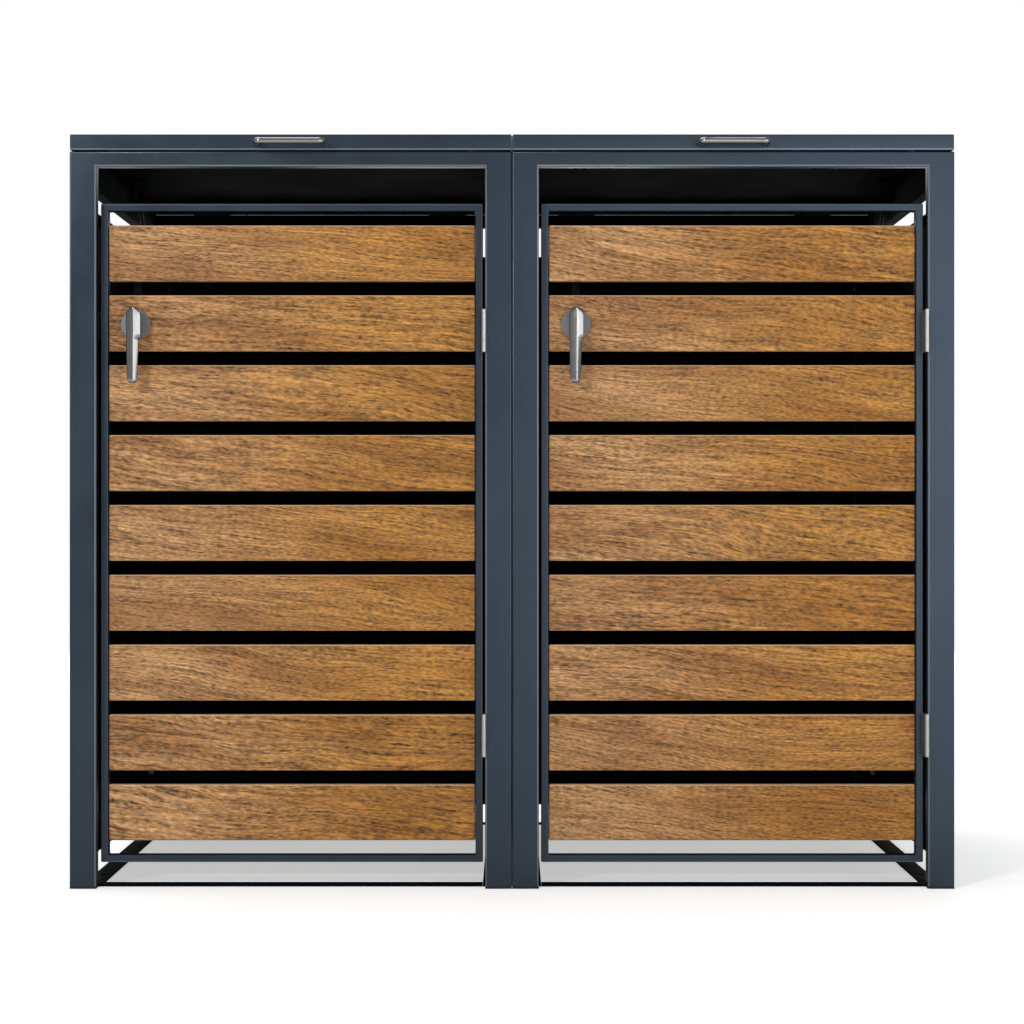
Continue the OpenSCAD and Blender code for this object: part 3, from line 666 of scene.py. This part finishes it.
def lever_outline(z, front, back):
    """Outline of the lever at height z over its axis, as (x, y) with x from the axis."""
    wide = max(lever_width(z), 0.05) * MM
    # The left flank goes on down the grip as broad as on the head, and tapers a little
    if z > 0:
        broad = wide * HEAD_LEFT
    else:
        broad = min(wide * 1.4, (GRIP_LEFT - LEFT_TAPER * z / LEVER_TIP) * MM)
    # The ridge sinks with the width, more so at the tip
    swell = math.sqrt(min(1.0, wide / (LEVER_THIN * MM)))
    ridge = 0.85 + 0.15 * swell if z > 0 else 0.35 + 0.65 * swell
    ridge_y = back + (front - back) * ridge
    side_y = back + (ridge_y - back) * 0.6
    points = []
    for k in range(9):                      # left flank: nearly flat
        t = k / 8
        crown = 0.08 * math.sin(math.pi * t)
        points.append((-broad * (1 - t), side_y + (ridge_y - side_y) * (t + crown)))
    for k in range(1, 11):                  # right flank: a little crowned
        t = k / 10
        points.append((wide * t, side_y + (ridge_y - side_y) * (1 - t ** 1.3)))
    # Back, with round corners
    corner = [(1 - 0.22 * (1 - math.cos(a)), side_y + (back - side_y) * math.sin(a)) for a in quarter(5)]
    points += [(wide * share, y) for share, y in corner[1:]]
    points += [(-broad * share, y) for share, y in corner[:0:-1]]
    return points


def lever_axis(side):
    """X and Z of the axis that a lever turns about."""
    lo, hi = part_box(f"{side}_lever_rosette")
    return (lo.x + hi.x) / 2, (lo.z + hi.z) / 2


def lever_grip(side):
    """Head and grip, with a ridge down their front."""
    node = f"{side}_lever_handle"
    x0, z0 = lever_axis(side)
    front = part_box(node)[0].y
    rings = []
    for z in lever_heights():
        outline = lever_outline(z, front, front + GRIP)
        rings.append([(x0 + x, y, z0 + z * MM) for x, y in outline])
    bm = loft(rings)
    bmesh.ops.remove_doubles(bm, verts=bm.verts, dist=0.01 * MM)
    piece(f"{side}_lever_grip", bm, f"{side}_lever", "handle_steel", node)


def lever_neck(side):
    """Neck: a D with its round side up, as wide as the grip's head, and lighter at the rosette."""
    x0, z0 = lever_axis(side)
    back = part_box(f"{side}_lever_handle")[0].y + GRIP
    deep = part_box(f"{side}_lever_rosette")[0].y - NECK_GAP - back
    # Size of each section over the full size, and how far back it lies on the way to the rosette
    sections = ((0.90, -0.10), (0.97, -0.05), (1.0, 0.02), (1.0, 0.3))
    sections += ((0.98, 0.6), (0.95, 0.85), (0.94, 1.0))
    rings = []
    for size, t in sections:
        points = []
        for a in full_turn(64):
            c, s = math.cos(a), math.sin(a)
            blunt = 0.35 if s < 0 else 0.95
            reach = NECK_DOWN if s < 0 else NECK_UP - NECK_FALL * max(t, 0)
            x = NECK_HALF * size * math.copysign(abs(c) ** blunt, c)
            z = reach * size * math.copysign(abs(s) ** blunt, s)
            points.append((x0 + x, back + deep * t, z0 + z))
        rings.append(points)
    piece(f"{side}_lever_neck", loft(rings), f"{side}_lever", "handle_steel")


def lever_spindle(side):
    """Spindle from the neck through the rosette and the slat."""
    x0, z0 = lever_axis(side)
    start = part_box(f"{side}_lever_rosette")[0].y - NECK_GAP
    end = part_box(f"{side}_lever_handle")[1].y
    profile = [(SPINDLE, start), (SPINDLE, end - SPINDLE_CHAMFER), (SPINDLE - SPINDLE_CHAMFER, end)]
    piece(f"{side}_lever_spindle", turned(profile, x0, z0, 40), f"{side}_lever", "stainless")


def rosette(side):
    """Flat round rosette with a turned edge, and the washer behind the slat."""
    node = f"{side}_lever_rosette"
    lo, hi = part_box(node)
    slat_lo, slat_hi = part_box(f"{side}_slat_2")
    x0, z0 = lever_axis(side)
    r = (hi.x - lo.x) / 2
    rim = lo.y + ROSETTE_RIM
    inner = r - ROSETTE_STEP
    plate = [(ROSETTE_BORE, slat_lo.y), (inner, slat_lo.y), (inner, rim + ROSETTE_STEP), (r, rim)]
    plate += [(r - ROSETTE_EDGE * (1 - math.cos(a)), lo.y + ROSETTE_EDGE * (1 - math.sin(a)))
              for a in quarter(5)]
    plate += [(ROSETTE_BORE + 1 * MM, lo.y), (ROSETTE_BORE, lo.y + 0.6 * MM)]
    bm = turned_ring(plate, x0, z0, 96)
    weight_normals(piece(f"{side}_rosette_plate", bm, f"{side}_door", "rosette_steel", node))
    washer = [(ROSETTE_BORE, slat_hi.y), (WASHER, slat_hi.y), (WASHER, hi.y - 0.4 * MM)]
    washer += [(WASHER - 0.5 * MM, hi.y), (ROSETTE_BORE, hi.y)]
    bm = turned_ring(washer, x0, z0, 48)
    weight_normals(piece(f"{side}_rosette_washer", bm, f"{side}_door", "stainless"))


def bow(side):
    """Bow handle of round bar with tightly bent elbows and a collar at each foot."""
    node = f"{side}_bow_handle"
    lo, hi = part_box(node)
    r = (hi.z - lo.z) / 2
    z0 = (lo.z + hi.z) / 2
    y0, y1 = lo.y + r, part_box(f"{side}_lid_shell")[0].y
    left, right = lo.x + r, hi.x - r
    cone = y1 - BOW_COLLAR

    # Centre line as ((x, y), thickness over the elbow's): left foot and elbow, bar, right elbow
    start = [((left, y1), BOW_FOOT), ((left, cone), BOW_FOOT)]
    start += [((left, cone - BOW_CONE), 1.0), ((left, y0 + BOW_BEND), 1.0)]
    start += [((left + BOW_BEND * (1 - math.cos(a)), y0 + BOW_BEND * (1 - math.sin(a))), 1.0)
              for a in quarter(10)[1:-1]]
    start += [((left + BOW_BEND, y0), BOW_BAR)]
    span = right - left - 2 * BOW_BEND
    bar = [((left + BOW_BEND + span * k / 6, y0), BOW_BAR) for k in range(1, 6)]
    end = [((left + right - x, y), share) for (x, y), share in reversed(start)]
    path = start + bar + end

    rings = []
    up = Vector((0, 0, 1))
    for k, ((x, y), share) in enumerate(path):
        (xa, ya), _ = path[max(k - 1, 0)]
        (xb, yb), _ = path[min(k + 1, len(path) - 1)]
        along = Vector((xb - xa, yb - ya, 0)).normalized()
        across = Vector((-along.y, along.x, 0))
        middle = Vector((x, y, z0))
        rings.append([middle + share * r * (across * math.cos(a) + up * math.sin(a))
                      for a in full_turn(32)])
    piece(f"{side}_bow_bar", loft(rings), f"{side}_lid", "handle_steel", node)


# ---- the CAD nodes that stay ----

def carried_nodes():
    """Gives the CAD nodes that are still shown their finish, and rounds their edges a little."""
    for name, obj in frame["nodes"].items():
        if obj.hide_render:
            continue
        obj.data.materials.clear()
        obj.data.materials.append(MATERIALS[SLOT[name]])
        weld = obj.modifiers.new("joined faces", "WELD")
        weld.merge_threshold = 0.001 * MM
        ease = obj.modifiers.new("eased edges", "BEVEL")
        ease.width = EASE_OF.get(name, EASE)
        ease.segments = 2
        ease.limit_method = "ANGLE"
        ease.angle_limit = math.radians(40)
        weight_normals(obj)


# ---- stage ----

def floor():
    """Plain pale floor. It glows a little to the camera, but lights nothing."""
    m = Recipe("floor")
    seen = m.node("ShaderNodeLightPath").outputs["Is Camera Ray"]
    m.set(base_color=rgb(0.86, 0.86, 0.86), roughness=0.9, specular_level=0.1,
          emission_color=rgb(1, 1, 1), emission_strength=m.math("MULTIPLY", seen, FLOOR_GLOW))
    mesh = bpy.data.meshes.new("floor")
    corners = [(-FLOOR, -FLOOR, 0), (FLOOR, -FLOOR, 0), (FLOOR, FLOOR, 0), (-FLOOR, FLOOR, 0)]
    mesh.from_pydata(corners, [], [(0, 1, 2, 3)])
    mesh.materials.append(m.material)
    obj = bpy.data.objects.new("floor", mesh)
    bpy.context.scene.collection.objects.link(obj)


def softbox(name, place, target, size, watts):
    """Rectangular soft light at place that faces target."""
    data = bpy.data.lights.new(name, "AREA")
    data.shape = "RECTANGLE"
    data.size, data.size_y = size
    data.energy = watts
    obj = bpy.data.objects.new(name, data)
    obj.location = place
    obj.rotation_euler = (Vector(target) - Vector(place)).to_track_quat("-Z", "Y").to_euler()
    bpy.context.scene.collection.objects.link(obj)


def sun(name, travel, strength, spread):
    """Soft light from far away. travel is the way its light goes, spread its angle in degrees."""
    data = bpy.data.lights.new(name, "SUN")
    data.energy = strength
    data.angle = math.radians(spread)
    obj = bpy.data.objects.new(name, data)
    obj.rotation_euler = Vector(travel).to_track_quat("-Z", "Y").to_euler()
    bpy.context.scene.collection.objects.link(obj)


def world():
    """Plain pale surroundings: white to look at, and dimmer as a light."""
    made = bpy.data.worlds.new("surroundings")
    bpy.context.scene.world = made
    made.use_nodes = True
    tree = made.node_tree
    tree.nodes.clear()
    seen = tree.nodes.new("ShaderNodeLightPath").outputs["Is Camera Ray"]
    strength = tree.nodes.new("ShaderNodeMapRange")
    strength.inputs["To Min"].default_value = AMBIENT
    strength.inputs["To Max"].default_value = 1.0
    tree.links.new(seen, strength.inputs["Value"])
    background = tree.nodes.new("ShaderNodeBackground")
    background.inputs["Color"].default_value = rgb(1, 1, 1)
    tree.links.new(strength.outputs[0], background.inputs["Strength"])
    out = tree.nodes.new("ShaderNodeOutputWorld")
    tree.links.new(background.outputs[0], out.inputs["Surface"])


def camera():
    """The photo's view: level, straight at the front."""
    data = bpy.data.cameras.new("camera")
    data.lens = LENS
    data.sensor_width = SENSOR
    data.shift_y = SHIFT_UP
    obj = bpy.data.objects.new("camera", data)
    obj.location = EYE
    obj.rotation_euler = (math.radians(90), 0, 0)
    bpy.context.scene.collection.objects.link(obj)
    bpy.context.scene.camera = obj


# ---- everything ----

camera()
for side in SIDES:
    portal(side, "front")
    portal(side, "rear")
    side_rail(side, "left")
    side_rail(side, "right")
    lid(side)
    door(side)
    lever_grip(side)
    lever_neck(side)
    lever_spindle(side)
    rosette(side)
    bow(side)
for side in SIDES:
    side_panel(side, "left")
    side_panel(side, "right")
    rear_panel(side)
seals()
carried_nodes()

floor()
world()
sun("sky", travel=(0.3, -0.35, -1), strength=1.2, spread=50)
softbox("key", place=(-3.6, -6.2, 3.4), target=(0, -0.3, 0.5), size=(1.3, 1.3), watts=195)
softbox("behind_camera", place=(2.45, -6.5, 0.8), target=(0.3, -0.3, 0.5), size=(4.6, 3.0), watts=86)
softbox("right", place=(2.6, -2.6, 1.3), target=(0, -0.3, 0.7), size=(1.6, 2.0), watts=20)
softbox("rear", place=(0, 6.0, 1.6), target=(0, 0.4, 0.6), size=(7.0, 3.0), watts=90)
bpy.context.scene.view_settings.view_transform = "Standard"
